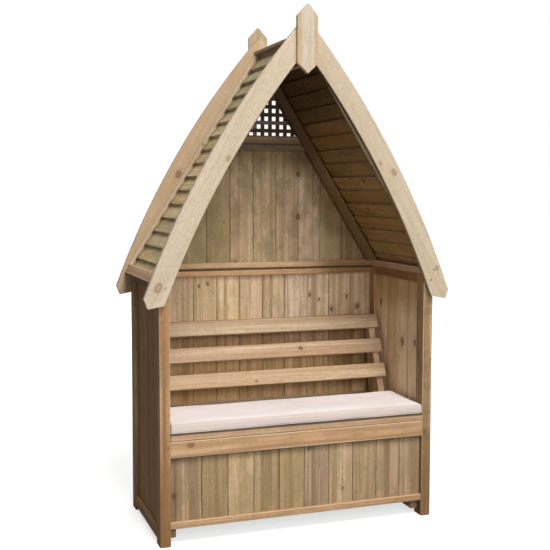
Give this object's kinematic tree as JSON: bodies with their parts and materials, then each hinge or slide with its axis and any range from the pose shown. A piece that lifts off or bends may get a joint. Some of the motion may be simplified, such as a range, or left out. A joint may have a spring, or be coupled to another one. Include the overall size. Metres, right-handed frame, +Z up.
{
  "type": "arbour seat",
  "caption": "Timber garden arbour: storage bench with a hinged lid and cushion, slatted backrest, boarded sides and a steep slatted roof with curved bargeboards.",
  "frame": {"origin": "on the ground at the middle of the footprint", "axes": "+X to the sitter's left seen from the front (right in a front view), -Y out of the front, +Z up"},
  "size_m": [1.3812, 0.702, 2.255],
  "materials": {
    "post_timber": "planed softwood, pressure treated, warm mid brown",
    "wall_boards": "planed softwood matched boards, pale tan with a green tint",
    "frame_timber": "planed softwood, tan",
    "roof_slats": "rough-sawn softwood, olive brown",
    "trim_timber": "planed softwood, light tan",
    "bargeboards": "planed softwood, pale cream",
    "trellis_laths": "sawn softwood laths, tan",
    "seat_boards": "planed softwood, tan",
    "hinge_steel": "zinc-plated steel",
    "cushion_fabric": "woven cotton cover, off-white"
  },
  "bodies": {
    "arbour": {"back_boards": "wall_boards", "back_bottom_rail": "frame_timber", "back_seat_ledger": "frame_timber", "back_top_rail": "frame_timber", "backrest_rail": "frame_timber", "backrest_slats": "seat_boards", "backrest_support_left": "frame_timber", "backrest_support_right": "frame_timber", "bargeboard_front_left": "bargeboards", "bargeboard_front_right": "bargeboards", "bargeboard_rear_left": "bargeboards", "bargeboard_rear_right": "bargeboards", "bargeboard_screws": "hinge_steel", "box_fascia": "trim_timber", "box_front_boards": "wall_boards", "box_front_bottom_rail": "trim_timber", "box_front_ledger": "frame_timber", "eaves_beam_left": "trim_timber", "eaves_beam_right": "trim_timber", "finial_front": "bargeboards", "finial_rear": "bargeboards", "floor_bearers": "frame_timber", "floor_boards": "wall_boards", "gable_boards": "wall_boards", "gable_bottom_rail": "frame_timber", "gable_gusset": "frame_timber", "gable_top_rail": "frame_timber", "hinge_leaves_fixed": "hinge_steel", "hinge_pins": "hinge_steel", "post_front_left": "post_timber", "post_front_right": "post_timber", "post_rear_left": "post_timber", "post_rear_right": "post_timber", "rafter_left": "frame_timber", "rafter_right": "frame_timber", "rear_seat_boards": "seat_boards", "ridge_beam": "frame_timber", "ridge_cap": "trim_timber", "roof_slats_left": "roof_slats", "roof_slats_right": "roof_slats", "seat_cross_rail": "frame_timber", "seat_ledger_left": "frame_timber", "seat_ledger_right": "frame_timber", "side_boards_left": "wall_boards", "side_boards_right": "wall_boards", "side_bottom_rail_left": "post_timber", "side_bottom_rail_right": "post_timber", "side_top_rail_left": "post_timber", "side_top_rail_right": "post_timber", "trellis_bottom_rail": "frame_timber", "trellis_crosslaths": "trellis_laths", "trellis_uprights": "trellis_laths", "verge_battens_front": "trim_timber", "verge_battens_rear": "trim_timber"},
    "lid": {"lid_front_lip": "seat_boards", "lid_boards": "seat_boards", "lid_battens": "frame_timber", "hinge_leaves_moving": "hinge_steel"},
    "cushion": {"cushion": "cushion_fabric"}
  },
  "joints": [
    {"name": "lid_hinge", "type": "hinge", "parent": "arbour", "child": "lid", "pos_m": [0, 0.032, 0.4768], "axis": [-1, 0, 0], "range_deg": [0, 75]},
    {"name": "cushion_slide", "type": "slide", "parent": "lid", "child": "cushion", "axis": [0, -1, 0], "range_m": [0, 0.35]}
  ]
}
